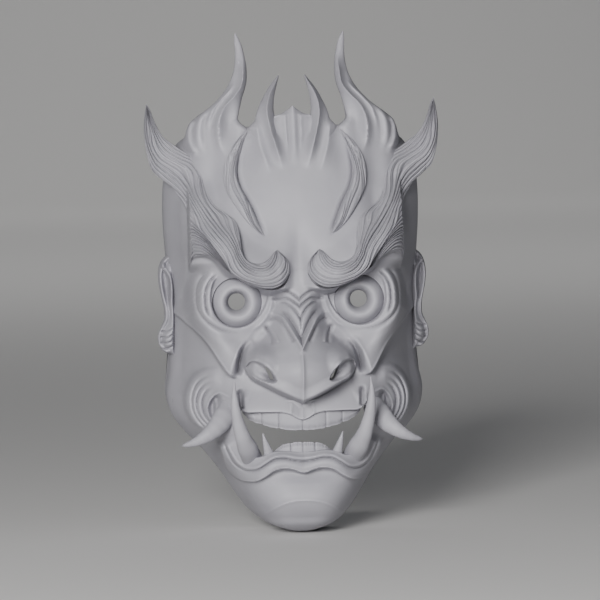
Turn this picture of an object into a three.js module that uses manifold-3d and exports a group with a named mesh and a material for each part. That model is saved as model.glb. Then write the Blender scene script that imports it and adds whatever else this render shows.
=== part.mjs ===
// Oni (demon) mask: a hollow resin face shell that carries hair, horns, ears, eyeballs, teeth and tusks,
// each a piece of its own that plugs into the shell. Millimetres, +Z up, the face looks along -Y.
// Outlines are drawn with z = 0 at the chin, x = 0 on the symmetry plane and depth p counted forward from
// the rear rim, so y = -p. At the end the whole mask is lowered to put the origin level with the pupils.
import * as THREE from 'three';
import { mergeVertices } from 'three/addons/utils/BufferGeometryUtils.js';
import Module from 'manifold-3d';

const wasm = await Module();
wasm.setup();

// ---- Driving dimensions ----
const FACE_WIDTH = 152;          // across the side walls at the temples
const FACE_HEIGHT = 235;         // chin to the top of the shell, without horns
const FACE_DEPTH = 104;          // rear rim to the front of the chin, without the nose
const WALL = 5;                  // shell wall
const NOSE_RISE = 30;            // nose ridge above the face
const GAP = 0.4;                 // clearance between a piece and what it sits on
const PUPIL_RADIUS = 4.9;
const EYE_RADIUS = 15.5;         // eyeball where it shows in its socket
const EYE_FLANGE = 2.5;          // how far the eyeball's rear flange reaches past EYE_RADIUS
const EYE_DOME = 8;              // how far the eyeball bulges in front of its rim
const EYE_BARREL = 14;           // eyeball rim to the back of its flange
const SOCKET_WALL = 3.5;         // shell material around the eyeball's flange
const HAIR_RISE = 7;             // half thickness of the hair ribbons
const TUSK_RADIUS = 5.8;         // lower tusk at its root
const SIDE_TUSK_RADIUS = 6.6;
const FANG_RADIUS = 2.3;
const TEETH_THICKNESS = 4;
const PEG_RADIUS = 1.8;
const PEG_GRIP = 3;              // how deep a peg reaches into the shell
const STRAP_SLOT = { wide: 6, tall: 22 };
const RIM_RISE = { chin: 46, crown: 40 }; // how far the rear rim comes forward below and above
const RESIN = '#a5a5ac';

// ---- Drawing frame ----
const DRAWN = { width: 152, height: 235, depth: 104 };   // the size the outlines below are drawn at
const wide = (x) => x * FACE_WIDTH / DRAWN.width;
const tall = (z) => z * FACE_HEIGHT / DRAWN.height;
const deep = (p) => p * FACE_DEPTH / DRAWN.depth;
const EYE = { x: wide(35.3), z: tall(134.3), p: deep(75) };

// ---- Curves ----
// A smooth curve through [t, value] points, with the slope at each point taken from its neighbours.
function curve(points) {
  const slope = points.map((_, i) => {
    const a = points[Math.max(i - 1, 0)];
    const b = points[Math.min(i + 1, points.length - 1)];
    return (b[1] - a[1]) / (b[0] - a[0]);
  });
  return (t) => {
    let i = points.findIndex((q) => q[0] > t) - 1;
    if (i < 0) i = t < points[0][0] ? 0 : points.length - 2;
    const [[t0, v0], [t1, v1]] = [points[i], points[i + 1]];
    const h = t1 - t0;
    const s = THREE.MathUtils.clamp((t - t0) / h, 0, 1);
    const rise = s * s * (3 - 2 * s);
    return v0 + (v1 - v0) * rise + h * s * (1 - s) * ((1 - s) * slope[i] - s * slope[i + 1]);
  };
}

const halfWidth = curve([
  [0, 13], [3, 22], [10, 31], [24, 41.5], [41, 54], [56, 67], [66, 74], [78, 77], [90, 76], [110, 74],
  [135, 73.5], [160, 74.5], [178, 76], [196, 75], [208, 73], [220, 68.5], [228, 62], [235, 48],
]);
const centreDepth = curve([
  [0, 76], [3, 88], [10, 98], [20, 104], [28, 102], [36, 97], [44, 99], [56, 98], [66, 99], [76, 97],
  [95, 92], [115, 88], [133, 86], [150, 92], [165, 94], [180, 91], [200, 86], [216, 79], [228, 70], [235, 60],
]);
const noseRise = curve([[70, 0], [74, 0.25], [78, 0.85], [85, 1.15], [92, 1.1], [104, 0.88], [120, 0.6],
  [133, 0.36], [145, 0.12], [155, 0]]);
const noseWidth = curve([[70, 15], [90, 15], [104, 13], [120, 10], [155, 9]]);

const bell = (d, reach) => Math.exp(-(d / reach) * (d / reach));
// Distance from (x, z) to the straight line between two points.
function lineDistance(x, z, a, b) {
  const [dx, dz] = [b[0] - a[0], b[1] - a[1]];
  const s = THREE.MathUtils.clamp(((x - a[0]) * dx + (z - a[1]) * dz) / (dx * dx + dz * dz), 0, 1);
  return Math.hypot(x - a[0] - s * dx, z - a[1] - s * dz);
}

// ---- The face as a relief: depth p of the surface in front of the rear rim ----
const dome = (t, z) => centreDepth(z) * Math.pow(Math.max(1 - Math.pow(Math.abs(t), 3.2), 0), 0.55);
const nose = (x, z) => (z > 70 && z < 155 ? noseRise(z) * bell(x, noseWidth(z)) : 0);
const socket = (x, z) => 7 * bell(Math.hypot(Math.abs(x) - 35.3, z - 134.3), 17);

function features(x, z) {
  const ax = Math.abs(x);
  const eyeDistance = Math.hypot(ax - 35.3, z - 134.3);
  const cornerDistance = Math.hypot(ax - 49, z - 77);
  return 11 * bell(Math.hypot((ax - 22) / 8, (z - 97) / 9), 1)          // wing of the nose
    + 10 * bell(lineDistance(ax, z, [10, 150], [60, 168]), 10)           // brow ridge under the hair
    + 3 * bell(eyeDistance - 21, 3.5)                                    // fold around the eye
    + 5 * bell(lineDistance(ax, z, [64, 126], [38, 96]), 9)              // cheek plate
    + 5 * bell(cornerDistance - 13, 4)                                   // fold around the mouth corner
    + 5 * bell(lineDistance(ax, z, [0, 71], [34, 75]), 5)                // upper lip
    + 6 * bell(lineDistance(ax, z, [0, 42], [14, 43]), 4)                // lower lip
    + 6 * bell(lineDistance(ax, z, [18, 40], [40, 44]), 6);
}

const faceDepth = (t, x, z) => dome(t, z)
  + (NOSE_RISE * nose(x, z) + features(x, z) - socket(x, z)) * (1 - Math.pow(Math.abs(t), 8));
const hollowDepth = (t, x, z) => dome(t, z) - 1.3 * socket(x, z) + 0.62 * NOSE_RISE * nose(x * 1.2, z);
const surfaceDepth = (x, z) => faceDepth(x / halfWidth(z), x, z);

// ---- Solids ----
// Manifold solid from rings of points: each ring joins the next, and both ends close on their centre.
function loft(rings) {
  const n = rings[0].length;
  const points = rings.flat();
  const faces = [];
  for (let r = 0; r + 1 < rings.length; r += 1) {
    for (let i = 0; i < n; i += 1) {
      const [a, b] = [r * n + i, r * n + (i + 1) % n];
      faces.push(a, b, b + n, a, b + n, a + n);
    }
  }
  for (const [start, flip] of [[0, true], [(rings.length - 1) * n, false]]) {
    const centre = points.length;
    const ring = points.slice(start, start + n);
    points.push(ring.reduce((sum, q) => sum.add(q), new THREE.Vector3()).divideScalar(n));
    for (let i = 0; i < n; i += 1) {
      const [a, b] = [start + i, start + (i + 1) % n];
      faces.push(...(flip ? [centre, b, a] : [centre, a, b]));
    }
  }
  let volume = 0;
  for (let i = 0; i < faces.length; i += 3) {
    volume += points[faces[i]].dot(points[faces[i + 1]].clone().cross(points[faces[i + 2]]));
  }
  if (volume < 0) faces.reverse();
  return new wasm.Manifold(new wasm.Mesh({
    numProp: 3,
    vertProperties: new Float32Array(points.flatMap((q) => [q.x, q.y, q.z])),
    triVerts: new Uint32Array(faces),
  }));
}

function fromGeometry(geometry) {
  geometry.deleteAttribute('normal');
  geometry.deleteAttribute('uv');
  const merged = mergeVertices(geometry);
  return new wasm.Manifold(new wasm.Mesh({
    numProp: 3,
    vertProperties: new Float32Array(merged.attributes.position.array),
    triVerts: new Uint32Array(merged.index.array),
  }));
}

// An outline of [x, z] points, seen from the front, made solid from depth near to depth far.
function prism(outline, near, far) {
  const shape = new THREE.Shape(outline.map(([x, z]) => new THREE.Vector2(x, z)));
  const geometry = new THREE.ExtrudeGeometry(shape, { depth: far - near, bevelEnabled: false });
  return fromGeometry(geometry.rotateX(Math.PI / 2).translate(0, -near, 0));
}

// The outer form of the head (or, as hollow, the space inside it), moved outward by grow.
function headSolid({ depthAt, rows, columns, grow, front = 0 }) {
  const rings = rows.map((row, i) => {
    const last = rows.length - 1;
    const z = row + (i === 0 ? -grow : 0) + (i === last ? grow : 0);
    const ring = [];
    for (let c = 0; c <= columns; c += 1) {
      const t = Math.sin((c / columns - 0.5) * Math.PI);
      const x = halfWidth(row) * t;
      const p = Math.max(depthAt(t, x, row), 0);
      ring.push(new THREE.Vector3(wide(x) + grow * t, -(deep(p) + grow), tall(z)));
    }
    ring[0].y = front;
    ring[columns].y = front;
    return ring;
  });
  return loft(rings);
}

const OUTER_ROWS = [0, 3, 7, 13, 20, 27, 33, 38, 43, 48, 54, 60, 66, 71, 75, 79, 84, 90, 96, 102, 108, 115,
  122, 129, 136, 143, 150, 157, 165, 175, 188, 202, 215, 224, 230, 235];
const INNER_ROWS = [5, 14, 28, 44, 60, 74, 86, 100, 114, 128, 142, 158, 176, 196, 214, 224, 229.5];
const outer = (grow) => headSolid({ depthAt: faceDepth, rows: OUTER_ROWS, columns: 36, grow });
const hollow = (shrink) => headSolid({
  depthAt: hollowDepth, rows: INNER_ROWS, columns: 22, grow: -shrink, front: 20,
});
const outerGrown = outer(GAP);

// A tapering limb through stations [x, z, p, half width, half thickness], smoothed between them.
// Widths are measured across the path as seen from the front, thicknesses along the depth.
function limb(side, stations, { sides = 8, steps = 14, grow = 0 } = {}) {
  const path = new THREE.CatmullRomCurve3(stations.map(([x, z, p]) => (
    new THREE.Vector3(side * wide(x), -deep(p), tall(z)))), false, 'centripetal');
  const track = (k) => curve(stations.map((q, i) => [i / (stations.length - 1), q[k]]));
  const [halfW, halfT] = [track(3), track(4)];
  const rings = [];
  for (let i = 0; i <= steps; i += 1) {
    const s = i / steps;
    const centre = path.getPoint(s);
    const across = path.getTangent(s).cross(new THREE.Vector3(0, 1, 0)).normalize();
    const through = across.clone().cross(path.getTangent(s)).normalize();
    const ring = [];
    for (let k = 0; k < sides; k += 1) {
      const angle = (k + 0.5) / sides * 2 * Math.PI;
      ring.push(centre.clone()
        .addScaledVector(across, Math.cos(angle) * (Math.max(halfW(s), 0.3) + grow))
        .addScaledVector(through, Math.sin(angle) * (Math.max(halfT(s), 0.3) + grow)));
    }
    rings.push(ring);
  }
  return loft(rings);
}

// A round bar along Y, from depth near to depth far.
function bar(x, z, near, far, radius, sides = 12) {
  const geometry = new THREE.CylinderGeometry(radius, radius, far - near, sides);
  return fromGeometry(geometry.translate(x, -(near + far) / 2, z));
}

// Locating pegs at [x, z]: a bar from inside the shell wall into the piece, and its hole in the shell.
function pegs(side, places, into = 2) {
  const at = places.map(([x, z]) => [side * wide(x), tall(z), deep(surfaceDepth(x, z))]);
  return {
    bars: at.map(([x, z, p]) => bar(x, z, p - PEG_GRIP, p + into, PEG_RADIUS)),
    holes: at.map(([x, z, p]) => bar(x, z, p - PEG_GRIP - GAP, p + into, PEG_RADIUS + GAP)),
  };
}

const shellCuts = [];
const SIDES = [['left', 1], ['right', -1]];    // the mask's own left is at +X
const pieces = {};

// A piece that lies on the outside of the shell: its form, cut back to the shell and given its pegs.
function seatOnShell(name, form, pegSet) {
  let piece = form.subtract(outerGrown);
  for (const peg of pegSet.bars) piece = piece.add(peg);
  shellCuts.push(...pegSet.holes);
  pieces[name] = piece;
}

// ---- Hair, horns and crest ----
const BROW_HAIR = [
  [84, 250, 46, 0.6, 1], [82.5, 239, 47, 3.5, 3.5], [79, 226, 50, 7.5, 6], [71, 213, 54, 9.5, 7],
  [62, 201, 62, 9, HAIR_RISE], [55, 189, 73, 11.5, HAIR_RISE], [47.5, 175, 85, 14, HAIR_RISE],
  [38, 161, 97, 12, HAIR_RISE], [27, 150.5, 101, 8.5, HAIR_RISE], [16, 146, 103, 5.5, HAIR_RISE],
  [8.5, 149, 104, 4, 6], [7.2, 156, 103, 3.2, 5.5], [12, 161.5, 102, 2, 5],
];
const FOREHEAD_LOCK = [
  [26, 231, 72, 0.8, 3], [31, 225, 74, 2.6, 4], [36, 216, 77, 4, 5], [37.5, 207, 79, 4.5, 5.5],
  [35, 198, 82, 4.5, 5.5], [30.5, 189, 86, 4, 5], [25, 180, 90, 3, 4.5], [19.5, 172, 92, 0.8, 3],
];
const FLAME_HORN = [
  [43, 223, 62, 14, 11], [44, 233, 61, 15, 11], [43, 240, 60, 12.5, 9.5], [39, 247, 59, 8.8, 8.5],
  [35, 255, 57, 6.2, 6.5], [31.5, 264, 55, 4.4, 5], [29.8, 273, 53, 3.2, 4], [30.3, 282, 52, 2, 2.6],
  [31.5, 289.5, 51, 0.4, 0.6],
];
const CREST_HORN = [
  [8, 207, 84, 2.5, 5], [12, 217, 81, 4, 6.5], [15, 227, 76, 4.8, 8], [16, 237, 69, 5, 8.5],
  [15, 246, 66, 4.2, 7], [12.8, 255, 65, 2.6, 4.5], [9.2, 264.5, 64, 0.4, 0.8],
];
const CREST_PEAK = [
  [0, 206, 84, 2.5, 5], [0, 216, 81, 4.4, 6], [0, 227, 76, 6.4, 7], [0, 236, 68, 7.6, 7.5],
  [0, 242, 66, 6.4, 6], [0, 247, 65, 0.8, 2],
];

for (const [sideName, side] of SIDES) {
  const flame = (grow) => limb(side, FLAME_HORN, { sides: 10, steps: 16, grow });
  const crest = (grow) => limb(side, CREST_HORN, { sides: 8, steps: 12, grow });
  const hair = limb(side, BROW_HAIR, { sides: 8, steps: 36 });
  seatOnShell(`brow_hair_${sideName}`, hair.subtract(flame(GAP)), pegs(side, [[58, 195], [42, 167]]));
  seatOnShell(`forehead_lock_${sideName}`, limb(side, FOREHEAD_LOCK), pegs(side, [[37, 207], [30.5, 189]]));
  seatOnShell(`flame_horn_${sideName}`, flame(0), pegs(side, [[38, 226], [48, 226]], 5));
  seatOnShell(`crest_horn_${sideName}`, crest(0).subtract(flame(GAP)), pegs(side, [[14.5, 225]], 3));
}
seatOnShell('crest_peak', limb(1, CREST_PEAK, { steps: 10 })
  .subtract(limb(1, CREST_HORN, { grow: GAP })).subtract(limb(-1, CREST_HORN, { grow: GAP })),
pegs(1, [[0, 224]], 3));

// ---- Ears ----
// Rows [z, x of the flared edge]; each row runs back and out from the side wall to that edge.
const EAR_ROWS = [[101, 75], [105, 79], [111, 80.5], [117, 79], [123, 76.8], [130, 77], [137, 78.5],
  [144, 79.5], [151, 79.5], [157, 78], [161, 74]];
const EAR_FRONT = { x: 62, p: 40 };
const EAR_PEG = { z: 138, p: 22 };
function ear(side) {
  const rings = EAR_ROWS.map(([z, edge]) => [
    [EAR_FRONT.x, EAR_FRONT.p - 6], [EAR_FRONT.x, EAR_FRONT.p + 2], [edge - 6, EAR_FRONT.p - 7],
    [edge, EAR_FRONT.p - 20], [edge - 1, EAR_FRONT.p - 26], [edge - 8, EAR_FRONT.p - 27],
  ].map(([x, p]) => new THREE.Vector3(side * wide(x), -deep(p), tall(z))));
  return loft(rings);
}
// A round bar along X through the side wall, for the ear's peg and its hole.
function sideBar(side, inner, outerX, radius) {
  const geometry = new THREE.CylinderGeometry(radius, radius, outerX - inner, 12).rotateZ(Math.PI / 2);
  const middle = side * (inner + outerX) / 2;
  return fromGeometry(geometry.translate(middle, -deep(EAR_PEG.p), tall(EAR_PEG.z)));
}
for (const [sideName, side] of SIDES) {
  const wallX = wide(70.5);
  const tip = wallX - PEG_GRIP;
  pieces[`ear_${sideName}`] = ear(side).subtract(outerGrown).add(sideBar(side, tip, wallX + 4, PEG_RADIUS));
  shellCuts.push(sideBar(side, tip - GAP, wallX + 4, PEG_RADIUS + GAP));
}

// ---- Eyeballs: hollow domes with an open pupil, pushed in from behind up to a flange ----
function lathe(profile, x, z, segments = 24) {
  const points = profile.map(([r, p]) => new THREE.Vector2(r, p)).reverse();
  const geometry = new THREE.LatheGeometry([...points, points[0].clone()], segments);
  return fromGeometry(geometry.rotateX(Math.PI).translate(x, 0, z));
}
const FLANGE_RADIUS = EYE_RADIUS + EYE_FLANGE;
const SEAT = EYE.p - EYE_BARREL + 4;            // depth of the flange's front face
const EYE_BACK = EYE.p - EYE_BARREL;
const eyeProfile = [
  [PUPIL_RADIUS, EYE.p + EYE_DOME - 4], [PUPIL_RADIUS + 2.4, EYE.p + EYE_DOME],
  [EYE_RADIUS * 0.72, EYE.p + EYE_DOME * 0.72], [EYE_RADIUS * 0.92, EYE.p + EYE_DOME * 0.32],
  [EYE_RADIUS, EYE.p - 2], [EYE_RADIUS, SEAT - GAP], [FLANGE_RADIUS, SEAT - GAP],
  [FLANGE_RADIUS, EYE_BACK], [EYE_RADIUS - 3, EYE_BACK], [EYE_RADIUS - 4, EYE.p - 2],
  [PUPIL_RADIUS + 1, EYE.p + EYE_DOME - 6],
];
for (const [sideName, side] of SIDES) pieces[`eyeball_${sideName}`] = lathe(eyeProfile, side * EYE.x, EYE.z);

// ---- Shell ----
const frontReach = FACE_DEPTH + NOSE_RISE + 20;  // deeper than the mask, for cuts that go right through
const UPPER_LIP = [[0, 66], [6, 69], [16, 70.3], [30, 70.5], [36, 72.5]];
const LOWER_LIP = [[40, 62], [39.5, 54], [36, 47], [31, 43.5], [24, 43], [17, 46.5], [8, 46.5], [0, 46]];
const mouthHalf = [...UPPER_LIP, ...LOWER_LIP];
const mirrored = (half) => [
  ...half, ...half.slice().reverse().filter(([x]) => x > 0).map(([x, z]) => [-x, z]),
].map(([x, z]) => [wide(x), tall(z)]);
const NOSTRIL = [[14, 90], [15.5, 96], [18.5, 100], [24, 99.5], [23.5, 94], [19, 89.5]];

// A wedge that trims the rear rim forward towards the chin or the crown: [depth, height] corners.
function rimWedge(corners) {
  const half = FACE_WIDTH;
  const shape = new THREE.Shape(corners.map(([p, z]) => new THREE.Vector2(-p, z)));
  const geometry = new THREE.ExtrudeGeometry(shape, { depth: 2 * half, bevelEnabled: false });
  geometry.applyMatrix4(new THREE.Matrix4().makeBasis(
    new THREE.Vector3(0, 1, 0), new THREE.Vector3(0, 0, 1), new THREE.Vector3(1, 0, 0)));
  return fromGeometry(geometry.translate(-half, 0, 0));
}
const RIM_FLAT = { from: 72, to: 196 };          // the heights between which the rim stays flat
const strapSlot = { z: 176, p: 11 };

let shell = outer(0).subtract(hollow(WALL));
for (const [, side] of SIDES) {
  const boss = bar(side * EYE.x, EYE.z, EYE_BACK, EYE.p - 1, FLANGE_RADIUS + SOCKET_WALL, 24);
  shell = shell.add(boss.intersect(outer(0)));
}
for (const [, side] of SIDES) {
  const [x, z] = [side * EYE.x, EYE.z];
  shell = shell.subtract(bar(x, z, SEAT - 1, frontReach, EYE_RADIUS + GAP, 24));
  shell = shell.subtract(bar(x, z, EYE_BACK - 30, SEAT, FLANGE_RADIUS + GAP, 24));
  const nostril = NOSTRIL.map(([nx, nz]) => [side * wide(nx), tall(nz)]);
  shell = shell.subtract(prism(side > 0 ? nostril : nostril.reverse(), deep(60), frontReach));
  const slot = new THREE.BoxGeometry(wide(40), STRAP_SLOT.wide, STRAP_SLOT.tall);
  shell = shell.subtract(fromGeometry(slot.translate(side * wide(75), -deep(strapSlot.p), tall(strapSlot.z))));
}
shell = shell.subtract(prism(mirrored(mouthHalf), deep(50), frontReach));
shell = shell.subtract(rimWedge([[-30, tall(RIM_FLAT.from)], [0, tall(RIM_FLAT.from)], [RIM_RISE.chin, -5],
  [-30, -5]]));
shell = shell.subtract(rimWedge([[-30, tall(RIM_FLAT.to)], [-30, FACE_HEIGHT + 5],
  [RIM_RISE.crown, FACE_HEIGHT + 5], [0, tall(RIM_FLAT.to)]]));

// ---- Teeth: plates that follow the inside of the lips, cut to the outline of the teeth ----
const plate = hollow(WALL + GAP).subtract(hollow(WALL + GAP + TEETH_THICKNESS));
const UPPER_TEETH = [[0, 60], [1.6, 61.5], [3, 59.8], [10, 60.5], [12, 62.5], [13.5, 61], [20, 63],
  [21.5, 65], [23, 63.8], [28, 65.5], [30, 68], [30, 80], [0, 80]];
const LOWER_TEETH = [[0, 51], [2, 52.8], [5, 52.6], [6.5, 51], [8, 52.4], [11, 51], [13.5, 49.5], [15, 47],
  [15, 33], [0, 33]];
const toothPegs = (places) => places.map(([x, z]) => {
  const p = deep(hollowDepth(x / halfWidth(z), x, z)) - WALL;
  return [wide(x), tall(z), p];
});
function teeth(name, outline, pegPlaces) {
  let piece = plate.intersect(prism(mirrored(outline), deep(40), frontReach));
  for (const [x, z, p] of toothPegs(pegPlaces)) {
    piece = piece.add(bar(x, z, p - TEETH_THICKNESS / 2, p + PEG_GRIP - GAP, PEG_RADIUS));
    shellCuts.push(bar(x, z, p - 3, p + PEG_GRIP, PEG_RADIUS + GAP));
  }
  pieces[name] = piece;
}
teeth('upper_teeth', UPPER_TEETH, [[-22, 75.5], [22, 75.5]]);
teeth('lower_teeth', LOWER_TEETH, [[-9, 38.5], [9, 38.5]]);

// ---- Tusks and fangs: each root sits in a socket cut into the shell ----
const R = TUSK_RADIUS;
const LOWER_TUSK = [
  [25.5, 38, 91, R, R * 0.7], [29, 44, 99, R, R * 0.8], [32.5, 51, 104, R * 0.9, R * 0.85],
  [35.6, 59, 108, R * 0.72, R * 0.72], [38, 68, 110, R * 0.54, R * 0.55], [39.2, 76, 111, R * 0.36, R * 0.4],
  [39, 86.5, 110, 0.4, 0.4],
];
const S = SIDE_TUSK_RADIUS;
const SIDE_TUSK = [
  [42, 71, 83, S, S * 0.7], [46, 66, 91, S * 0.9, S * 0.75], [51.5, 60.5, 95, S * 0.72, S * 0.68],
  [57, 56.5, 97, S * 0.52, S * 0.52], [62.5, 54, 97, S * 0.32, S * 0.34], [68.8, 52.5, 94, 0.4, 0.4],
];
const F = FANG_RADIUS;
const SMALL_FANG = [
  [17.5, 41, 93, F, F * 0.8], [18.5, 46, 95, F, F * 0.85], [20.2, 52, 97, F * 0.75, F * 0.75],
  [22, 58.4, 98, 0.35, 0.35],
];
for (const [sideName, side] of SIDES) {
  for (const [name, stations] of [['lower_tusk', LOWER_TUSK], ['side_tusk', SIDE_TUSK],
    ['small_fang', SMALL_FANG]]) {
    pieces[`${name}_${sideName}`] = limb(side, stations, { steps: 12 });
    shellCuts.push(limb(side, stations, { steps: 12, grow: GAP }));
  }
}

for (const cut of shellCuts) shell = shell.subtract(cut);

// The shell is one moulding, given as panels that meet face to face at these heights and on the centre
// plane. Each panel bends less than the whole, so collision follows the inside of the mask closely.
const JAW_SPLIT = tall(56);
const BROW_SPLIT = EYE.z + EYE_RADIUS + EYE_FLANGE + SOCKET_WALL + 2.2;   // clear above the eye socket
const PANELS = [['jaw', -50, JAW_SPLIT], ['face', JAW_SPLIT, BROW_SPLIT],
  ['forehead', BROW_SPLIT, 2 * FACE_HEIGHT]];
for (const [sideName, side] of SIDES) {
  for (const [panel, low, high] of PANELS) {
    const region = new THREE.BoxGeometry(FACE_WIDTH, 2 * frontReach, high - low)
      .translate(side * FACE_WIDTH / 2, 0, (low + high) / 2);
    pieces[`${panel}_shell_${sideName}`] = shell.intersect(fromGeometry(region));
  }
}

// ---- Scene graph ----
function meshOf(name, piece) {
  const { vertProperties, triVerts, numProp } = piece.getMesh();
  const geometry = new THREE.BufferGeometry();
  geometry.setAttribute('position', new THREE.InterleavedBufferAttribute(
    new THREE.InterleavedBuffer(new Float32Array(vertProperties), numProp), 3, 0));
  geometry.setIndex(new THREE.BufferAttribute(new Uint32Array(triVerts), 1));
  const material = new THREE.MeshStandardMaterial({ color: RESIN, roughness: 0.55, metalness: 0 });
  const mesh = new THREE.Mesh(geometry, material);
  mesh.name = name;
  return mesh;
}

const mask = new THREE.Group();
mask.name = 'oni_mask';
for (const [name, piece] of Object.entries(pieces)) mask.add(meshOf(name, piece));
mask.position.z = -EYE.z;

export default mask;
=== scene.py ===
"""Oni mask in plain light grey resin: the visual model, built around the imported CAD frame.

Outlines are drawn in millimetres on one half of the face: x outward from the symmetry plane, z up from
the chin, depth p forward from the rear rim. place() turns them into the row frame, and every piece of one
half is made again for the other half by a sign on x.
"""
import math

import bpy
import numpy as np
from mathutils import Matrix, Vector


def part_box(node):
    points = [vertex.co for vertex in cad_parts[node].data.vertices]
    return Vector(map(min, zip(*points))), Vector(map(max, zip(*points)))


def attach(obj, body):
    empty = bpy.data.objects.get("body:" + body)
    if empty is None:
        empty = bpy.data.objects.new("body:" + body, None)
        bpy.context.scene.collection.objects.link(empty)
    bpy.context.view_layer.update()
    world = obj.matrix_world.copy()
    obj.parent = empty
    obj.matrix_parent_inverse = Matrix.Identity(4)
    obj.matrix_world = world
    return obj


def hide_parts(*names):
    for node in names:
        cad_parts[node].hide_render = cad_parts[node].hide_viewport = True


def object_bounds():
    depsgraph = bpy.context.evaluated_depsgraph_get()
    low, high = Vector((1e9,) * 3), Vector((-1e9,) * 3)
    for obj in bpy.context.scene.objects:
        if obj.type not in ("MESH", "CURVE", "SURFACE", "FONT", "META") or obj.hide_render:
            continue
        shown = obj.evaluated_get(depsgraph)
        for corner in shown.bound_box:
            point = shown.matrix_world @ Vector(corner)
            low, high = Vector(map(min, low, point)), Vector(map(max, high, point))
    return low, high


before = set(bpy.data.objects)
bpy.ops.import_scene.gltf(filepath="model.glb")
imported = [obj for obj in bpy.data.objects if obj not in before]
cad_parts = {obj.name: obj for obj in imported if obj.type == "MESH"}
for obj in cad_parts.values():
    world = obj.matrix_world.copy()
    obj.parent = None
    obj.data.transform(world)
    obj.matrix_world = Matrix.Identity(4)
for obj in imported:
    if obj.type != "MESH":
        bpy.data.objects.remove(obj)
CAD_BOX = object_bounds()

# ---- Drawing frame ----
PANELS = [f"{part}_shell_{side}" for part in ("forehead", "face", "jaw") for side in ("left", "right")]
PANEL_BOXES = [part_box(panel) for panel in PANELS]
SHELL_LOW = Vector([min(box[0][i] for box in PANEL_BOXES) for i in range(3)])
SHELL_HIGH = Vector([max(box[1][i] for box in PANEL_BOXES) for i in range(3)])
DRAWN_WIDTH, DRAWN_HEIGHT, DRAWN_DEPTH = 154.1, 235.0, 128.8   # of the shell, in the drawing
SCALE_X = (SHELL_HIGH.x - SHELL_LOW.x) / DRAWN_WIDTH
SCALE_Y = (SHELL_HIGH.y - SHELL_LOW.y) / DRAWN_DEPTH
SCALE_Z = (SHELL_HIGH.z - SHELL_LOW.z) / DRAWN_HEIGHT
VIEW_ELEVATION, VIEW_AZIMUTH, VIEW_ROLL = 3.0, -3.1, 1.35     # degrees
LEAN = math.tan(math.radians(VIEW_ELEVATION))                  # forward points sit higher than drawn
LEAN_FROM, LEAN_LEAST = 88.0, 80.0
SIDES = (("left", 1), ("right", -1))
WALL = 5.0


def place(x, z, p):
    """Drawn millimetres to the row frame, in metres."""
    raised = z + LEAN * (np.maximum(p, LEAN_LEAST) - LEAN_FROM)
    return np.stack([x * SCALE_X, SHELL_HIGH.y - p * SCALE_Y, SHELL_LOW.z + raised * SCALE_Z], -1)


# ---- Curves ----
def hermite(knots, values, at):
    """A smooth curve through values at knots, sampled at the given places."""
    slopes = np.gradient(values, knots, axis=0)
    at = np.clip(at, knots[0], knots[-1])
    i = np.clip(np.searchsorted(knots, at, side="right") - 1, 0, len(knots) - 2)
    h = knots[i + 1] - knots[i]
    s = (at - knots[i]) / h
    if values.ndim > 1:
        h, s = h[:, None], s[:, None]
    rise = s * s * (3 - 2 * s)
    bend = s * (1 - s) * h * ((1 - s) * slopes[i] - s * slopes[i + 1])
    return values[i] + (values[i + 1] - values[i]) * rise + bend


def curve(points):
    pairs = np.array(points, float)
    return lambda t: hermite(pairs[:, 0], pairs[:, 1], np.asarray(t, float))


def path(points, step=0.9, count=None):
    """Points along a smooth path; columns past the first two (or three) ride along."""
    rows = np.array(points, float)
    knots = np.r_[0, np.cumsum(np.linalg.norm(np.diff(rows[:, :2], axis=0), axis=1) + 1e-6)]
    count = count or max(int(knots[-1] / step), 3) + 1
    return hermite(knots, rows, np.linspace(0, knots[-1], count))


def bell(d, reach):
    return np.exp(-np.square(d / reach))


def smooth(t):
    t = np.clip(t, 0, 1)
    return t * t * (3 - 2 * t)


# ---- The head's large form ----
half_width = curve([
    (-1, 10), (0, 13), (3, 21.5), (10, 31.5), (16, 36), (24, 41), (32, 46), (41, 53), (49, 60), (56, 66.5),
    (66, 73.5), (78, 76.5), (90, 75.5), (110, 74), (135, 73.5), (160, 74.5), (178, 75.5), (196, 75),
    (208, 73), (220, 68.5), (228, 62), (235, 48)])
front_width = curve([
    (-1, 10), (0, 13), (3, 21.5), (10, 31.5), (16, 36), (24, 41), (32, 46), (41, 53), (49, 60), (56, 66.5),
    (66, 73.5), (78, 76.5), (90, 75.5), (110, 74), (135, 73.5), (160, 74.5), (178, 76), (200, 77.5),
    (235, 80), (292, 82)])
centre_depth = curve([
    (-1, 70), (0, 77), (3, 89), (10, 98), (20, 103.5), (28, 101.5), (36, 97), (44, 98), (56, 98), (66, 99),
    (76, 98), (95, 93), (115, 88), (133, 87), (150, 92), (165, 94), (180, 92), (200, 87), (216, 81),
    (230, 75), (245, 69), (260, 62.5), (292, 50)])
nose_rise = curve([
    (68, 8), (75, 13), (80, 19.5), (84, 24), (88, 28), (93, 31), (98, 31), (104, 28), (112, 23),
    (120, 19.5), (128, 15.5), (136, 9.5), (144, 4), (152, 0)])
nose_width = curve([(68, 35), (76, 34.5), (90, 34), (99, 33.5), (104, 32), (109, 26), (114, 20), (120, 16.5),
                    (128, 14.5), (140, 12.5), (152, 11)])
nose_bottom = curve([(0, 75.6), (5.5, 78.1), (11, 80.7), (16.5, 83.5), (22.5, 86.8), (28, 90), (31, 93.6),
                     (34, 101), (40, 110)])
EYE_X, EYE_Z = 35.3, 134.3
EYE_LEVEL = 81.0                  # depth at which the eyeball and its hole line up
EYE_EDGE = 14.4                   # radius of the eyeball where it meets the lids
EYE_HOLE = EYE_EDGE + 0.07
CROWN_Z, CROWN_ROUND = 235.2, 9.0


def front(x, z):
    t = np.minimum(np.abs(x) / front_width(z), 1)
    return centre_depth(z) * np.power(np.maximum(1 - t ** 3.2, 0), 0.55)


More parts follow.
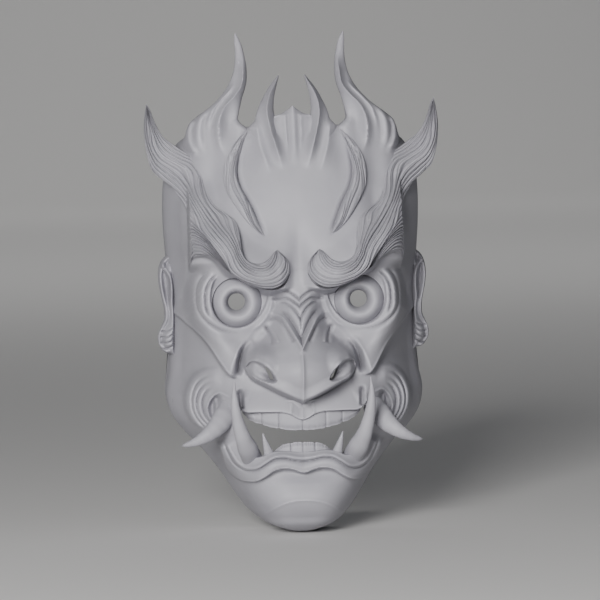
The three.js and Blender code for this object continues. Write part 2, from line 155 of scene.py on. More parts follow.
class Relief:
    """Depth over a set of points; strokes along paths raise, cut or step it."""

    def __init__(self, x, z, start=None):
        self.x, self.z = np.abs(x), z
        self.p = front(self.x, z) if start is None else start

    def near(self, points, reach):
        """Indices within reach of a path, their distance, side (+1 is left of travel) and place along it."""
        line = path(points)[:, :2]
        low, high = line.min(0) - reach, line.max(0) + reach
        pick = np.flatnonzero((self.x > low[0]) & (self.x < high[0]) & (self.z > low[1]) & (self.z < high[1]))
        best = np.full(len(pick), 1e9)
        side, place_on = np.ones(len(pick)), np.zeros(len(pick))
        px, pz = self.x[pick], self.z[pick]
        for i, (a, b) in enumerate(zip(line[:-1], line[1:])):
            d = b - a
            s = np.clip(((px - a[0]) * d[0] + (pz - a[1]) * d[1]) / (d @ d), 0, 1)
            ex, ez = px - a[0] - s * d[0], pz - a[1] - s * d[1]
            square = ex * ex + ez * ez
            nearer = square < best
            best = np.where(nearer, square, best)
            side = np.where(nearer, np.sign(d[0] * ez - d[1] * ex), side)
            place_on = np.where(nearer, (i + s) / (len(line) - 1), place_on)
        distance = np.sqrt(best)
        keep = distance < reach
        return pick[keep], distance[keep], side[keep], place_on[keep]

    @staticmethod
    def fade(along, ends):
        """1 along the path, falling to 0 over the given share at each end."""
        start, finish = ends
        out = np.ones_like(along)
        if start:
            out = out * smooth(along / start)
        if finish:
            out = out * smooth((1 - along) / finish)
        return out

    def stroke(self, points, height, reach, other=None, ends=(0.15, 0.15), sharp=False):
        """A ridge (or a groove, with height below 0); other is the reach on the right-hand side."""
        other = other or reach
        pick, d, side, along = self.near(points, max(reach, other))
        q = np.clip(1 - d / np.where(side > 0, reach, other), 0, 1)
        profile = q * q if sharp else smooth(q)
        self.p[pick] += height * profile * self.fade(along, ends)

    def ledge(self, points, height, reach, edge=0.9, ends=(0.1, 0.1)):
        """Raises the left-hand side of a path by height at the path, easing away over reach."""
        pick, d, side, along = self.near(points, reach)
        signed = d * side
        rise = smooth((signed + edge / 2) / edge)
        ease = np.where(signed > 0, 1 - smooth(signed / reach), 1)
        self.p[pick] += height * rise * ease * self.fade(along, ends)

    def bump(self, x, z, height, reach_x, reach_z):
        self.p += height * np.exp(-np.square((self.x - x) / reach_x) - np.square((self.z - z) / reach_z))


# ---- Drawn lines of the face ----
UPPER_LIP_EDGE = [(0, 65.6), (3, 66.4), (7, 68.8), (11, 70), (18, 70.4), (27, 70.6), (32, 70.6), (34.5, 71.6),
                  (36.5, 74)]
LOWER_LIP_GROOVE = [(45.4, 56), (42.8, 48), (38.8, 40.6), (31.8, 36.9), (26.8, 37.5), (21.8, 40.5),
                    (16.8, 43.4), (11.7, 44), (4.7, 42.6), (-2, 41.9)]
LOWER_LIP_BOTTOM = [(49, 54), (46, 47), (44.3, 40), (41.7, 34.3), (36.7, 31.1), (31.7, 30.3), (26.7, 31),
                    (21.7, 33.6), (16.7, 36.8), (11.7, 37.9), (5.7, 37), (2, 35.6), (-2, 35)]
CHEEK_EDGE = [(72, 129), (69, 126.5), (66, 122.8), (60, 117.7), (55, 112.7), (50.8, 107), (46.5, 100),
              (43.2, 94.8), (40.5, 91.8), (38, 90.6)]
CHEEK_INNER = [(38, 90.6), (36.6, 93), (36.2, 97), (35.5, 101.5), (33.7, 106), (30.8, 110.5), (28.5, 113)]
PLATE_INNER = curve([(70, 39), (80, 38.5), (90.6, 36.4), (101, 33.8), (108, 30),
                     (114, 25), (122, 19), (135, 13)])
NASOLABIAL = [(28.8, 113), (31.6, 108.5), (33.6, 104), (34.7, 99.5), (35.3, 95), (36.2, 91.5)]
WING_EDGE = [(27.5, 111), (30.3, 107.5), (31.8, 103), (32.1, 98.5), (31, 94), (28, 90.3), (22.5, 87.2),
             (16.5, 83.8), (11, 81), (5.5, 78.3), (0, 75.8), (-3, 74.6)]
NOSTRIL_AXIS = [(30.6, 98.4), (15.4, 88.4)]
BROW_EDGE = [(66, 158), (61, 160.3), (55, 161.5), (50, 160), (46.3, 157), (43.5, 153.8), (40.5, 151),
             (35.5, 147.9), (29, 144), (23, 141.6), (16.5, 139.6), (10, 140), (4, 142)]
CORNER_EDGE = [(43, 95.4), (49, 96), (55, 94.8), (60, 91.5), (64, 85.5), (66.2, 77), (65, 69.5), (61.5, 63.8),
               (56, 59.5)]
CORNER_GROOVES = [
    [(50, 92.6), (56, 90), (60.3, 85), (62.4, 77), (61.6, 70.5), (58.5, 65), (54, 60.5)],
    [(50, 89), (54.6, 86.5), (58, 82), (59.6, 76.5), (58.8, 70.5), (55.8, 65.5), (52, 61.5)],
    [(49.5, 86), (53.4, 83), (55.8, 78.5), (56.3, 74), (55, 69), (51.5, 64)],
]
CORNER_RECESS = [(40, 79), (44, 81), (47.5, 82.2), (50.6, 79.5), (53, 75.5), (53.8, 72), (52.6, 68.6),
                 (49.5, 64)]
CHIN_ARC = [(-4, 19.4), (4, 19.4), (9.5, 18.4), (15.5, 16), (21.5, 12), (26.5, 7)]


def sculpt(x, z):
    """The depth of the whole front surface at drawn points: head form, folds, nose, lips, horns' flutes."""
    r = Relief(x, z)
    eye = np.hypot(r.x - EYE_X, r.z - EYE_Z)
    eye_plateau(r, eye)
    forehead_and_brow(r)
    eye_surround(r, eye)
    cheek(r)
    nose(r)
    lips_and_chin(r)
    mouth_corner(r)
    crest_and_horns(r)
    return r.p


def large_form(x, z):
    """The head form with only its broad masses, as the hair lies on it."""
    r = Relief(x, z)
    forehead_and_brow(r)
    return r.p


def forehead_and_brow(r):
    r.bump(24, 156, 6.5, 17, 13)                                   # bulge that the curl lies on
    r.bump(46, 170, 9, 16, 17)                                     # outer brow
    r.bump(0, 158, -2.5, 5, 16)                                    # dip between the curls
    r.bump(0, 195, 1.5, 22, 26)
    r.bump(46, 206, -4.5, 7, 20)                                   # channel between lock and brow hair
    block = smooth((r.x - 43) / 19) * (1 - smooth((r.x - 61.2) / 1.3))  # squared outer end of the brow
    r.p += 17 * block * smooth((r.z - 150) / 8) * smooth((206 - r.z) / 18)
    plain = r.p.copy()
    r.ledge(BROW_EDGE[::-1], 10.5, 24, edge=2.4, ends=(0.0, 0.2))  # brow stands out over the eye
    r.p = plain + (r.p - plain) * smooth((r.x - 2.5) / 9)


LID = [(45.5, 150), (49, 145.5), (50.4, 139.5), (50.2, 132.5), (47.6, 126), (42.6, 121.4), (36, 119.6),
       (30, 120.8), (24.6, 124.2), (20.2, 129.6), (17.6, 136), (16.9, 141.5)]


def eye_plateau(r, eye):
    """Brings the face to the eyeball's edge all round it, below the brow."""
    pick, d, side, _ = r.near(BROW_EDGE, 60)
    below = np.zeros_like(r.p)
    below[pick] = np.where(side > 0, smooth(d / 2.5), 0)
    flat = smooth((31 - eye) / 14) * below
    r.p = r.p * (1 - flat) + 79.0 * flat


def eye_surround(r, eye):
    outer = smooth((r.x - 34) / 14) * smooth((156 - r.z) / 12)
    r.p += 5.0 * bell(eye - 23.5, 7.0) * outer                       # folded outer rim
    r.bump(22, 122, 2.0, 9, 9)
    r.ledge(LID, 3.4, 9, edge=0.8, ends=(0.08, 0.1))
    r.stroke([(46, 150.8), (50.6, 147), (53.2, 141.5), (53.6, 135), (52.6, 129.4), (50.6, 125.2)],
             -3.4, 2.3, ends=(0.15, 0.2), sharp=True)
    r.stroke([(49, 153), (54, 150.4), (57.6, 145), (58.8, 138), (58.2, 131), (55.2, 125.6), (50.6, 121.6),
              (44.8, 118.8), (37, 117), (30, 116.6)], -3.2, 2.9, ends=(0.12, 0.4), sharp=True)
    r.stroke([(56, 155), (61.4, 149.5), (63.8, 141), (63, 132), (59.4, 125)], -1.2, 3.6, ends=(0.3, 0.4))
    r.stroke([(28.6, 117.4), (22.6, 121), (18, 126.6), (15.6, 133), (15.2, 138.6)], 1.6, 2.6, ends=(0.3, 0.2),
             sharp=True)


def cheek(r):
    plain = r.p.copy()
    r.ledge(CHEEK_EDGE[::-1], 9.0, 33, edge=1.2, ends=(0.0, 0.15))
    r.p = plain + (r.p - plain) * smooth((r.x - PLATE_INNER(r.z)) / 5)
    r.stroke(CHEEK_EDGE, 0.9, 2.4, ends=(0.05, 0.1))
    r.stroke(CHEEK_INNER, 1.3, 4.0, ends=(0.1, 0.25))
    r.stroke(NASOLABIAL, -9.0, 2.9, ends=(0.45, 0.18))
    r.stroke([(29.5, 111), (33, 104.5), (33.6, 99), (33.5, 93), (35, 88)], 1.2, 2.6, ends=(0.3, 0.3))
    r.bump(66, 99, -14, 13, 17)                                      # side of the face below the plate
    r.bump(50, 101, -2.5, 9, 10)


def nose(r):
    t = r.x / nose_width(r.z)
    t = np.minimum(t, 1)
    bulb = (0.74 * (1 - np.power(t, 2.5)) + 0.26 * (1 - t)) * smooth((1 - t) / 0.2)
    bridge = 0.80 * np.power(1 - np.power(t, 2.4), 1.5) + 0.20 * (1 - t)
    high = smooth((r.z - 102) / 14)
    side = bulb * (1 - high) + bridge * high
    over = smooth((r.z - nose_bottom(np.minimum(r.x, 40))) / 3.0 + 0.5)
    rise = np.where((r.z > 68) & (r.z < 152), nose_rise(r.z), 0)
    r.p += rise * side * over
    wing = np.hypot((r.x - 23.8) / 9.2, (r.z - 99.5) / 11)
    r.p += 7.5 * smooth(1.2 - wing) * over
    r.ledge(WING_EDGE[::-1], 4.2, 8, edge=1.4, ends=(0.0, 0.2))
    r.stroke(WING_EDGE, -1.6, 2.2, ends=(0.3, 0.1))
    r.stroke([(27.5, 109.6), (24, 111), (19.5, 110), (16.5, 107.5)], -1.8, 4.0, ends=(0.2, 0.4))
    nostril(r)
    r.stroke([(0, 131), (0, 118), (0, 106)], -1.3, 1.5, ends=(0.2, 0.3), sharp=True)
    r.stroke([(0, 106), (0, 92), (0, 76)], 1.3, 2.0, ends=(0.2, 0.0), sharp=True)
    for points, height, reach in (
            ([(18, 138.4), (12, 139.6), (7, 139.7), (3, 137.6), (-2, 133)], -3.0, 1.9),
            ([(17, 136), (11, 135.6), (7, 135.7), (3, 133.4), (-2, 129.6)], -3.4, 1.8),
            ([(13, 133.4), (8, 132.8), (4.5, 130.4), (2, 127.4), (-2, 121)], -3.2, 2.0),
            ([(13, 129), (8.8, 127.2), (5.2, 122.6), (2.2, 117), (-2, 109)], -4.4, 2.7),
            ([(18.6, 122.6), (14.3, 124.0), (10.6, 121.6), (7.2, 116.2), (4.2, 110.6)], -3.2, 2.3),
            ([(20, 121), (17.6, 117.6), (16.2, 113.6), (15.8, 109.6)], -4.5, 2.6),
            ([(18, 126), (14.6, 127.2), (11, 125.4), (7, 119.6), (3, 112.6), (-1, 105)], 4.8, 3.4),
            ([(17.9, 119.5), (15.4, 115.5), (13.2, 110.6)], 2.4, 2.2)):
        r.stroke(points, height, reach, ends=(0.25, 0.04), sharp=True)


def nostril(r):
    """A teardrop bowl that runs inward and down, deepest at its inner end, with a floor that rises below."""
    outer, inner = np.array(NOSTRIL_AXIS[0]), np.array(NOSTRIL_AXIS[1])
    run = inner - outer
    length = np.hypot(*run)
    s = ((r.x - outer[0]) * run[0] + (r.z - outer[1]) * run[1]) / length ** 2
    n = ((r.x - outer[0]) * run[1] - (r.z - outer[1]) * run[0]) / length
    inside = np.clip(s, 0, 1)
    width = 4.7 * np.sqrt(np.sin(math.pi * np.power(inside, 0.62)).clip(0)) + 0.2
    mouth = smooth((width - np.abs(n)) / 1.8) * ((s > 0) & (s < 1))
    floor_rise = 1 - 0.55 * smooth(-n / width + 0.35)
    r.p -= (4.5 + 11.0 * inside) * mouth * floor_rise
    rim = bell(np.abs(n) - width - 0.6, 1.1) * smooth((s + 0.08) / 0.1) * smooth((0.9 - s) / 0.4)
    r.p += 0.8 * rim


def lips_and_chin(r):
    r.ledge([(-3, 66.5)] + UPPER_LIP_EDGE + [(40, 79)], 4.5, 14, edge=1.2, ends=(0.0, 0.1))
    r.stroke([(35.3, 85), (35, 79), (34.8, 73)], -5.5, 2.4, ends=(0.3, 0.05))
    r.bump(0, 71, -1.0, 5, 8)
    r.stroke([(6, 77), (6.6, 69)], 0.6, 1.6, ends=(0.2, 0.1), sharp=True)
    r.stroke([(0, 77), (0, 65)], 0.7, 2.2, ends=(0.2, 0.1), sharp=True)
    r.bump(29, 41, 4.5, 13, 9)
    r.ledge(LOWER_LIP_BOTTOM[::-1], 7.0, 16, edge=1.4, ends=(0.0, 0.08))
    r.stroke(LOWER_LIP_BOTTOM, 0.9, 2.2, other=1.0, ends=(0.12, 0.0))
    r.ledge(LOWER_LIP_GROOVE[::-1], 1.2, 5, edge=1.0, ends=(0.0, 0.1))
    r.stroke(LOWER_LIP_GROOVE, -2.6, 1.7, ends=(0.1, 0.0), sharp=True)
    r.stroke([(44, 54), (41, 47.5), (36.8, 41), (31, 38.6), (26, 39.4), (21.4, 42.6), (16.4, 45.2),
              (11.7, 45.8), (4.7, 44.6), (-2, 44)], 1.0, 1.5, ends=(0.1, 0.0))
    r.stroke([(47.4, 53), (44.6, 45), (41.6, 37.5), (36.5, 34), (31, 33.3), (25.5, 34.5), (20.5, 37.6),
              (15.5, 40.4), (11, 41), (5, 39.6), (-2, 38.4)], 0.7, 2.8, ends=(0.1, 0.0))
    r.bump(56, 47, -3.5, 7, 7)
    pick, d, side, along = r.near(CHIN_ARC, 22)
    below = np.where(side < 0, d, 0)
    r.p[pick] -= 0.22 * below * smooth((1 - along) / 0.3)
    r.stroke(CHIN_ARC, 0.6, 1.3, ends=(0.0, 0.4), sharp=True)


def mouth_corner(r):
    r.ledge(CORNER_EDGE[::-1], 3.6, 9, edge=2.6, ends=(0.1, 0.3))
    centre = np.hypot(r.x - 49, (r.z - 76) / 1.15)
    r.p += 2.5 * bell(centre - 12.5, 4.5) * smooth((r.x - 44) / 6)
    r.p -= 5.5 * smooth(1 - centre / 14)
    for points in CORNER_GROOVES:
        r.stroke(points, -3.0, 2.0, ends=(0.3, 0.12), sharp=True)
    r.stroke(CORNER_RECESS, 1.4, 1.6, ends=(0.2, 0.2), sharp=True)
    r.stroke([(45, 79.5), (48.5, 78), (50.6, 74), (50.4, 70), (48, 66)], -6.0, 3.2, ends=(0.2, 0.1))
    r.stroke([(48.6, 79.5), (48.9, 75), (48.6, 70)], 2.4, 1.4, ends=(0.3, 0.3))


def crest_and_horns(r):
    crest = [(7.3, 265), (9.5, 260.5), (12.3, 255.6), (14.5, 249.5), (15.1, 243), (14, 236), (12, 228),
             (9.2, 218), (6.4, 209)]
    r.stroke(crest, 7.0, 5.2, other=9.0, ends=(0.0, 0.3), sharp=True)
    r.stroke([(21.2, 238), (20.6, 231), (19.4, 224), (17, 216), (13.8, 207)], 2.0, 5.0, ends=(0.15, 0.4),
             sharp=True)
    r.stroke([(9.8, 243), (9.2, 234), (7.2, 223), (5, 212)], -1.6, 4.0, ends=(0.1, 0.5))
    r.stroke([(0, 247), (0, 238), (0, 222), (0, 210)], 2.2, 3.4, ends=(0.0, 0.5))
    r.stroke([(4.6, 243), (4.4, 233), (3.4, 220)], 1.3, 2.2, ends=(0.1, 0.5), sharp=True)
    r.bump(27, 222, -3.5, 6, 15)                                      # trough outside the crest
    flame = [(27.5, 279), (27.8, 268), (29.4, 258.6), (33.5, 253), (39.2, 247), (42.4, 240), (43.2, 232),
             (42, 224), (38.5, 217)]
    r.stroke(flame, 5.6, 4.6, other=8.0, ends=(0.2, 0.3), sharp=True)
    r.stroke([(31.5, 262), (35.5, 256.8), (41.5, 250.6), (46, 245), (48.5, 238), (49.5, 230)], 2.8, 3.4,
             ends=(0.2, 0.4), sharp=True)
    r.stroke([(36, 259), (42, 254), (47.5, 248.5), (52.5, 242.5), (54.6, 235), (54.2, 225), (52, 217)],
             3.2, 4.0, ends=(0.2, 0.3))
    r.stroke([(57.5, 241), (60.6, 234.5), (60, 228), (57.6, 222), (54.5, 217)], 3.4, 3.2, ends=(0.1, 0.3))
    r.bump(37, 236, -3.0, 5, 12)                                       # hollow inner face of the horn
    # groove inside the forehead lock
    r.stroke([(29.5, 229), (32, 220), (33, 206), (31, 199), (28.3, 194), (25.6, 188.6), (23, 182),
              (20.6, 176), (18.6, 170)], -2.6, 3.0, ends=(0.2, 0.15), sharp=True)


# ---- Meshes ----
def mesh_object(name, points, faces, smooth_angle=40):
    mesh = bpy.data.meshes.new(name)
    mesh.from_pydata(points.tolist() if hasattr(points, "tolist") else points, [], faces)
    mesh.validate()
    mesh.update()
    made = bpy.data.objects.new(name, mesh)
    bpy.context.scene.collection.objects.link(made)
    point_outward(mesh)
    shade(mesh, smooth_angle)
    return made


def shade(mesh, angle):
    mesh.shade_smooth()
    mesh.set_sharp_from_angle(angle=math.radians(angle))


def point_outward(mesh):
    """Turns the faces round if the closed mesh is inside out."""
    count = len(mesh.vertices)
    points = np.empty(count * 3)
    mesh.vertices.foreach_get("co", points)
    points = points.reshape(-1, 3)
    mesh.calc_loop_triangles()
    corners = np.empty(len(mesh.loop_triangles) * 3, np.int64)
    mesh.loop_triangles.foreach_get("vertices", corners)
    a, b, c = points[corners.reshape(-1, 3)].transpose(1, 0, 2)
    if np.einsum("ij,ij->i", a, np.cross(b, c)).sum() < 0:
        mesh.flip_normals()


def loft_faces(rings, around, first=0):
    """Quads between rings of points, and an n-gon on each end."""
    base = first + np.arange(rings - 1)[:, None] * around
    i = np.arange(around)[None, :]
    j = (i + 1) % around
    quads = np.stack([base + i, base + j, base + around + j, base + around + i], -1).reshape(-1, 4)
    last = first + (rings - 1) * around
    ends = [list(range(first, first + around))[::-1], list(range(last, last + around))]
    return quads.tolist() + ends


def loft(name, rings, smooth_angle=40):
    """A closed body from an array of rings: (ring, point, xyz)."""
    return mesh_object(name, rings.reshape(-1, 3), loft_faces(rings.shape[0], rings.shape[1]), smooth_angle)


def join(name, objects):
    """Makes one object of several."""
    for o in bpy.context.selected_objects:
        o.select_set(False)
    for o in objects:
        o.select_set(True)
    bpy.context.view_layer.objects.active = objects[0]
    if len(objects) > 1:
        bpy.ops.object.join()
    objects[0].name = name
    objects[0].data.name = name
    return objects[0]


def cut(target, tool, operation="DIFFERENCE"):
    """Joins or cuts two closed bodies, and removes the tool."""
    modifier = target.modifiers.new("cut", "BOOLEAN")
    modifier.operation = operation
    modifier.solver = "MANIFOLD"
    modifier.object = tool
    bpy.context.view_layer.objects.active = target
    bpy.ops.object.modifier_apply(modifier=modifier.name)
    mesh = tool.data
    bpy.data.objects.remove(tool)
    bpy.data.meshes.remove(mesh)


def prism(name, outline, near, far, level=100.0):
    """An outline of drawn (x, z) points made solid between two depths; it lines up at the level depth."""
    outline = np.array(outline, float)
    rings = np.stack([place(outline[:, 0], outline[:, 1], np.full(len(outline), p)) for p in (near, far)])
    rings[:, :, 2] = place(outline[:, 0], outline[:, 1], np.full(len(outline), level))[None, :, 2]
    return loft(name, rings)


def eye_drum(side, radius, near, far, sides=96):
    turn = np.linspace(0, 2 * math.pi, sides, endpoint=False)
    outline = np.stack([side * EYE_X + radius * np.cos(turn), EYE_Z + radius * np.sin(turn)], -1)
    return prism("eye_drum", outline, near, far, EYE_LEVEL)


# ---- Face shell ----
COLUMNS, ROWS = 400, 430


def head_block(name, rows, columns, depth_at, shrink, rear):
    """The solid in front of the rear plane, under a depth function; shrink moves its sides inward."""
    turn = np.linspace(-math.pi / 2, math.pi / 2, columns + 1)
    t = np.sin(turn)
    z = np.repeat(rows[:, None], columns + 1, 1)
    x = (half_width(rows) - shrink)[:, None] * t[None, :]
    p = np.maximum(depth_at(x, z), 0.0)
    p[:, 0] = p[:, -1] = rear
    outer = np.abs(x) / half_width(rows)[:, None]
    square = 1 + 0.045 * smooth(p / 30) * smooth((outer - 0.88) / 0.1)
    rings = place(x * square, z, p)                                # side walls stand upright at the rim
    rings[:, [0, -1], 2] = place(x[:, 1], rows, np.full(len(rows), 0.0))[:, None, 2]
    return loft(name, rings)


def shell_depth(x, z):
    """The sculpted front, rounded off at the side walls and along the crown."""
    t = np.minimum(np.abs(x) / half_width(z), 1)
    p = sculpt(x.ravel(), z.ravel()).reshape(x.shape)
    p = p * np.sqrt(np.maximum(1 - t ** 20, 0))
    over = np.clip((z - (CROWN_Z - CROWN_ROUND)) / CROWN_ROUND, 0, 1)
    return p - CROWN_ROUND * (1 - np.sqrt(np.maximum(1 - over ** 2, 0)))


THINNEST = 3.6


def lowest_around(grid, cells=2):
    """Each value's minimum over a square of neighbours."""
    padded = np.pad(grid, cells, mode="edge")
    rows, columns = grid.shape
    steps = range(2 * cells + 1)
    return np.min([padded[i:i + rows, j:j + columns] for i in steps for j in steps], 0)


def hollow_depth(x, z):
    """The inside of the shell: the head's broad form, taken back where the front is carved deeply."""
    bridge = np.where((z > 78) & (z < 152), nose_rise(z), 0) * bell(x / nose_width(z), 0.6)
    smooth_inside = front(x, z) - WALL - 1.5 + 0.62 * bridge
    carved = lowest_around(sculpt(x.ravel(), z.ravel()).reshape(x.shape))
    return np.minimum(smooth_inside, carved - THINNEST)


def rim_wedge(name, corners):
    """Trims the rear rim forward: (depth, height) corners swept right across the mask."""
    corners = np.array(corners, float)
    rings = np.stack([place(np.full(len(corners), x), corners[:, 1], corners[:, 0]) for x in (-120.0, 120.0)])
    return loft(name, rings)


MOUTH = UPPER_LIP_EDGE[:-1] + [(36.6, 73), (38.1, 70), (38, 64), (36.6, 56.5), (34.4, 50), (31.6, 46.4),
                               (28, 44.6), (24, 45), (18.8, 47.2), (13.7, 48), (6.7, 47.5), (0, 47.1)]
NOSTRIL = [(16.0, 89.2), (17.0, 92.6), (19.0, 95.8), (21.2, 97.6), (20.8, 95.6), (19.4, 92.6), (17.8, 89.6)]

CUT_FRONT = 140                   # depth ahead of every feature, where the through cuts start
EYE_BOSS = EYE_EDGE + 7.4         # radius of the solid left round each eye inside the shell
FLANGE_HOLE = EYE_EDGE + 4        # radius of the pocket that takes the eyeball's flange
STRAP_SLOT = [(8, 165), (14, 165), (14, 187), (8, 187)]              # corners as (p, z)
SLOT_REACH = (50.0, 90.0)         # the strap slot's cut runs from inside the wall to outside it
RIM_CHIN = [(-30, 72), (0, 72), (46, -6), (-30, -6)]                 # rear rim cut back at the chin
RIM_CROWN = [(-30, 196), (-30, 244), (41, 244), (0, 196)]            # and at the crown


def both_halves(outline):
    left = [(-x, z) for x, z in outline if x > 0.01]
    return path(list(outline) + left[::-1] + [outline[0]], step=0.8)[:-1, :2]


def face_shell():
    z = np.r_[np.linspace(-0.7, 6, 26)[:-1], np.linspace(6, 226, ROWS - 50), np.linspace(226, 235, 26)[1:]]
    shell = head_block("face_shell", z, COLUMNS, shell_depth, 0.0, 0.0)
    inner = head_block("hollow", np.linspace(5, 229.5, 150), 150, hollow_depth, WALL, -20.0)
    for _, side in SIDES:
        cut(inner, eye_drum(side, EYE_BOSS, 60.5, 92))
    cut(shell, inner)
    for _, side in SIDES:
        cut(shell, eye_drum(side, EYE_HOLE, 50, CUT_FRONT))
        cut(shell, eye_drum(side, FLANGE_HOLE, 30, 64.5))
        nostril = path(NOSTRIL + NOSTRIL[:1], step=0.6)[:-1, :2]
        cut(shell, prism("nostril", nostril * (side, 1), 60, CUT_FRONT))
        cut(shell, strap_slot(STRAP_SLOT, side))
    cut(shell, prism("mouth", both_halves(MOUTH), 50, CUT_FRONT))
    cut(shell, rim_wedge("rim_chin", RIM_CHIN))
    cut(shell, rim_wedge("rim_crown", RIM_CROWN))
    shade(shell.data, 42)
    return shell


def strap_slot(corners, side):
    corners = np.array(corners, float)
    rings = np.stack([place(np.full(len(corners), side * x), corners[:, 1], corners[:, 0])
                      for x in SLOT_REACH])
    return loft("slot", rings)


# ---- Hair ----
def strand_relief(across, along, width, seed, pitch=2.8):
    """Strands that run the length of a ribbon: crisp valleys, round tops, each at its own height."""
    rng = np.random.default_rng(seed)
    sway = sum(rng.uniform(0.3, 0.6) / k * np.sin(along * rng.uniform(1.2, 2.2) * k + rng.uniform(0, 6.3))
               for k in (1, 2, 3)) + 0.30 * np.sin(across * 5 + along * 6.1 + seed)
    count = max(width.max() / pitch, 2)
    phase = across * count + sway + 0.35 * np.sin(across * 9 + along * 1.7 + seed)
    cell = np.floor(phase)
    u = phase - cell
    lift = np.sin(cell * 7.31 + along * (0.9 + 0.3 * np.sin(cell * 3.7)) + seed)
    round_top = np.sqrt(np.maximum(1 - (2 * u - 1) ** 2, 0))
    full = 0.5 * round_top + 0.5 * np.square(np.sin(math.pi * u))
    lock = (0.8 + 0.2 * lift) * full - 0.6
    second = phase * 2.07 + 0.5 * np.sin(along * 2.3 + cell * 2.0)
    v = second - np.floor(second)
    hair = np.sqrt(np.maximum(1 - (2 * v - 1) ** 2, 0)) - 0.75
    return lock + 0.30 * lift + 0.42 * hair


def ribbon(name, side, pairs, lift, rise, sink, seed, depth=None, strands=2.4, columns=170, step=0.5,
           crown=4.0, calm=0.0, form=None):
    """Hair drawn between two edges: each pair is (x, z, x, z). lift is the height of its middle over the
    head along the ribbon, rise how far its edges drop, depth an own depth where it leaves the head."""
    pairs = np.array(pairs, float)
    middle = (pairs[:, :2] + pairs[:, 2:]) / 2
    knots = np.r_[0, np.cumsum(np.linalg.norm(np.diff(middle, axis=0), axis=1))]
    share = knots / knots[-1]
    rows = int(knots[-1] / step)
    u = np.linspace(0, 1, rows)
    edges = hermite(share, pairs, u)
    v = np.linspace(0, 1, columns)
    x = edges[:, None, 0] * (1 - v) + edges[:, None, 2] * v
    z = edges[:, None, 1] * (1 - v) + edges[:, None, 3] * v
    width = np.hypot(edges[:, 2] - edges[:, 0], edges[:, 3] - edges[:, 1])
    base = (form or large_form)(x.ravel(), z.ravel()).reshape(x.shape)
    if depth is not None:
        own, weight = curve(depth[0])(u)[:, None], curve(depth[1])(u)[:, None]
        base = base * (1 - weight) + own * weight
    high = curve(lift)(u)[:, None]
    drop = curve(rise)(u)[:, None]
    q = np.abs(2 * v - 1)[None, :]
    profile = 1 - (1 - np.power(np.maximum(1 - q ** crown, 0), 0.5))
    ends = np.minimum(1, width / 4)[:, None]
    fine = strand_relief(v[None, :], u[:, None] * knots[-1] / 30, width, seed) * strands * ends
    fine = fine * smooth((1 - q) * width[:, None] / 1.6)
    fine = fine * (1 - calm * smooth((u[:, None] - 0.78) / 0.08) * bell(v[None, :] - 0.45, 0.24))
    top = base + high - drop * (1 - profile) + fine
    back = base + high - drop - curve(sink)(u)[:, None]
    back = np.minimum(back, top - 0.3)
    under = np.linspace(1, 0, 9)[1:-1]
    index = np.round(under * (columns - 1)).astype(int)
    ring_x = np.concatenate([x, x[:, index]], 1)
    ring_z = np.concatenate([z, z[:, index]], 1)
    ring_p = np.concatenate([top, back[:, index]], 1)
    return loft(name, place(side * ring_x, ring_z, ring_p), 60)


BROW_RIBBON = [
    (84.0, 249.8, 84.2, 249.8), (81.9, 246, 85.3, 243.5), (80.2, 241, 86, 237), (77.6, 235, 85.8, 229.5),
    (74.2, 229.8, 84.8, 221), (69, 225.8, 81.8, 211), (62.8, 221.3, 76.3, 205.5), (57, 217, 70.6, 200.8),
    (53.4, 210.5, 66.6, 195.2), (51.9, 203, 64, 190), (50, 196, 61, 184), (46.5, 190.2, 56.5, 176.5),
    (40.7, 185.5, 51, 169.5), (35.8, 180.7, 46.5, 163), (33.5, 172.8, 42.5, 157), (32.8, 165, 38.5, 150.5),
    (31, 159.6, 33, 146.3), (27.5, 156.8, 27, 143.6), (23.5, 156, 20.5, 141.6), (20.2, 156.8, 13.5, 141.8),
    (17.8, 158.4, 8.2, 145.2), (16.1, 160.2, 5.2, 150.8), (14.7, 161.8, 6, 157.2), (13.4, 163, 9.6, 161.6),
    (12.4, 163.6, 12, 163.8)]
BROW_FAN = [
    (62.3, 193, 62.3, 153.2), (60.3, 189.5, 60.7, 159.2), (57.3, 185, 57.2, 161), (52.3, 178, 53.2, 161),
    (47.3, 171, 49.7, 159.6), (43.8, 165, 46.2, 156.6), (40.8, 159, 42.7, 153.1), (38.1, 154, 39, 150.2),
    (34.8, 150, 34.7, 147.4), (30.2, 147, 29.7, 144.4), (24.2, 144.3, 23.7, 141.8), (17.6, 143, 17.4, 140.4),
    (12.2, 143.6, 11.4, 141.2), (8.6, 146.4, 7.2, 144.4), (6.2, 150.4, 4.8, 149.6)]
FOREHEAD_LOCK = [
    (27, 232.6, 26.8, 232.2), (31.2, 229.6, 28.4, 228.4), (35.2, 225, 30.4, 223), (38.7, 219, 32.3, 217),
    (40.8, 213, 33.4, 210.5), (41.5, 206, 33, 204.5), (40.4, 199.5, 31, 199), (37.6, 193.4, 28.6, 194.3),
    (34, 187.6, 26, 189.2), (30.5, 182.2, 23.7, 183.4), (26.6, 177.4, 21.6, 178), (22.2, 173.4, 20, 174.4),
    (19.2, 171.8, 19, 172)]


